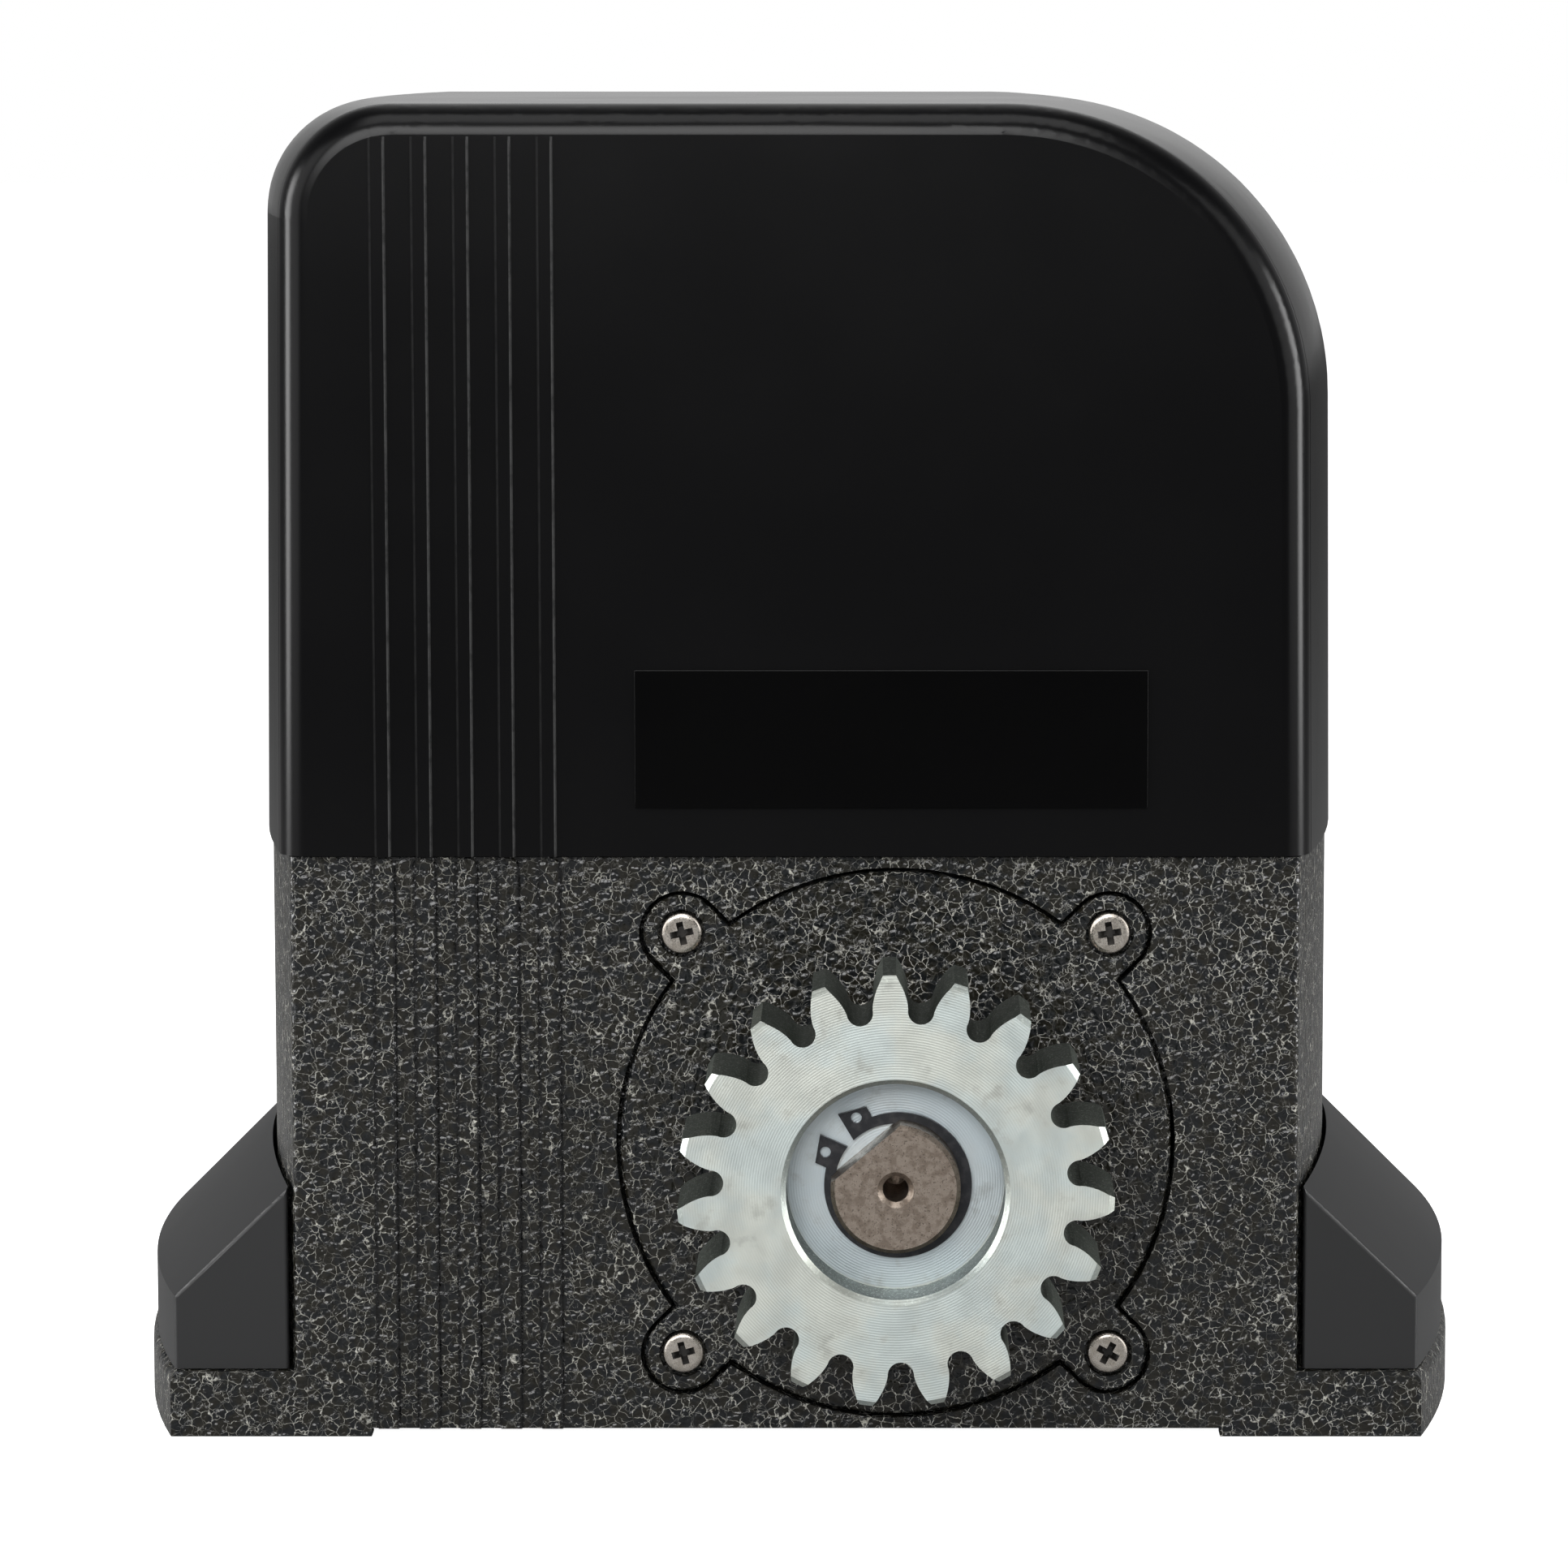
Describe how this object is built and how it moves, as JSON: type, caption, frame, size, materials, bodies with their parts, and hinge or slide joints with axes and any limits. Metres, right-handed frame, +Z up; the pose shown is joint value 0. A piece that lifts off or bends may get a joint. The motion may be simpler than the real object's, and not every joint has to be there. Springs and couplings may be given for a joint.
{
  "type": "sliding gate motor",
  "caption": "Floor-standing rack-drive gate operator: cast gearbox base, moulded cover, side foot caps, external spur pinion, and a keyed manual release lever on the back.",
  "frame": {"origin": "centre of the four anchor slots on the underside of the feet", "axes": "+X along the gate, -Y towards the gate and its rack so that the pinion faces -Y, +Z up"},
  "size_m": [0.2726, 0.2132, 0.266],
  "materials": {
    "hammertone": "black hammertone powder coat with a fine silver-grey vein network",
    "cover_plastic": "satin black moulded plastic with a fine moulded texture",
    "cap_plastic": "smooth dark grey moulded plastic, satin",
    "zinc_gear": "bluish zinc plate over machined steel, turning marks on the faces",
    "shaft_steel": "bare turned steel with light brown staining",
    "black_steel": "black phosphated spring steel",
    "nickel_screw": "nickel-plated steel",
    "bearing_steel": "ground steel",
    "lamination_steel": "stacked steel laminations",
    "winding_copper": "enamelled copper wire, varnished",
    "bronze": "machined bronze",
    "cast_aluminium": "as-cast aluminium",
    "zinc_sheet": "zinc-plated sheet steel",
    "lock_chrome": "chromed brass",
    "rubber_black": "black nitrile rubber",
    "gasket_paper": "dark fibre gasket",
    "capacitor_white": "off-white plastic can",
    "tray_plastic": "black moulded tray",
    "board_green": "green solder mask",
    "relay_black": "black component housing",
    "terminal_green": "green pluggable terminals"
  },
  "bodies": {
    "housing": {"lower_housing": "hammertone", "gear_side_flange": "hammertone", "flange_gasket": "gasket_paper", "flange_screws": "nickel_screw", "output_oil_seal": "rubber_black", "output_bearing_outer_rings": "bearing_steel", "rotor_bearing_outer_rings": "bearing_steel", "worm_oil_seal": "rubber_black", "motor_lower_endbell": "cast_aluminium", "motor_upper_endbell": "cast_aluminium", "stator_core": "lamination_steel", "stator_windings": "winding_copper", "motor_through_bolts": "nickel_screw", "run_capacitor": "capacitor_white", "capacitor_clamp": "zinc_sheet", "board_bracket": "tray_plastic", "control_board": "board_green", "board_screws": "nickel_screw", "board_transformer": "lamination_steel", "board_relays": "relay_black", "terminal_blocks": "terminal_green", "board_fuse": "relay_black", "radio_receiver": "board_green", "limit_sensor": "relay_black", "sensor_bracket": "zinc_sheet", "cable_grommet": "rubber_black", "oil_plug": "zinc_sheet", "earth_terminal": "bronze", "cover_seal": "rubber_black", "cover_screws": "nickel_screw", "lever_pin": "bearing_steel"},
    "output": {"output_shaft": "shaft_steel", "drive_gear": "zinc_gear", "gear_retaining_ring": "black_steel", "tail_retaining_ring": "black_steel", "worm_wheel": "bronze", "thrust_washer": "bronze", "wheel_spacer": "bearing_steel", "output_bearing_inner_rings": "bearing_steel", "clutch_spring": "bearing_steel"},
    "clutch": {"clutch_collar": "shaft_steel", "clutch_cross_pin": "bearing_steel", "push_rod": "bearing_steel"},
    "rotor": {"worm_shaft": "bearing_steel", "rotor_core": "lamination_steel", "rotor_bearing_inner_rings": "bearing_steel"},
    "cover": {"top_cover": "cover_plastic"},
    "left_cap": {"left_foot_cap": "cap_plastic"},
    "right_cap": {"right_foot_cap": "cap_plastic"},
    "lever": {"release_lever": "cap_plastic"},
    "lock": {"lock_cylinder": "lock_chrome"}
  },
  "joints": [
    {"name": "output_turn", "type": "hinge", "parent": "housing", "child": "output", "pos_m": [0.02, 0, 0.0595], "axis": [0, 1, 0], "continuous": true},
    {"name": "rotor_spin", "type": "hinge", "parent": "housing", "child": "rotor", "pos_m": [-0.0285, -0.02, 0.1], "axis": [0, 0, 1], "continuous": true},
    {"name": "clutch_slide", "type": "slide", "parent": "output", "child": "clutch", "axis": [0, -1, 0], "range_m": [0, 0.0045], "deforming": ["clutch_spring"]},
    {"name": "lever_turn", "type": "hinge", "parent": "housing", "child": "lever", "pos_m": [0.01714, 0.07, 0.0595], "axis": [0, 0, -1], "range_deg": [0, 90]},
    {"name": "lock_turn", "type": "hinge", "parent": "lever", "child": "lock", "pos_m": [-0.02186, 0.07, 0.0595], "axis": [0, 1, 0], "range_deg": [0, 90]},
    {"name": "cover_lift", "type": "slide", "parent": "housing", "child": "cover", "axis": [0, 0, 1], "range_m": [0, 0.16]},
    {"name": "left_cap_lift", "type": "slide", "parent": "housing", "child": "left_cap", "axis": [0, 0, 1], "range_m": [0, 0.05]},
    {"name": "right_cap_lift", "type": "slide", "parent": "housing", "child": "right_cap", "axis": [0, 0, 1], "range_m": [0, 0.05]}
  ],
  "couplings": [
    {"joint": "rotor_spin", "follows": "output_turn", "ratio": -30},
    {"joint": "clutch_slide", "follows": "lever_turn", "m_per_rad": 0.0028648}
  ]
}
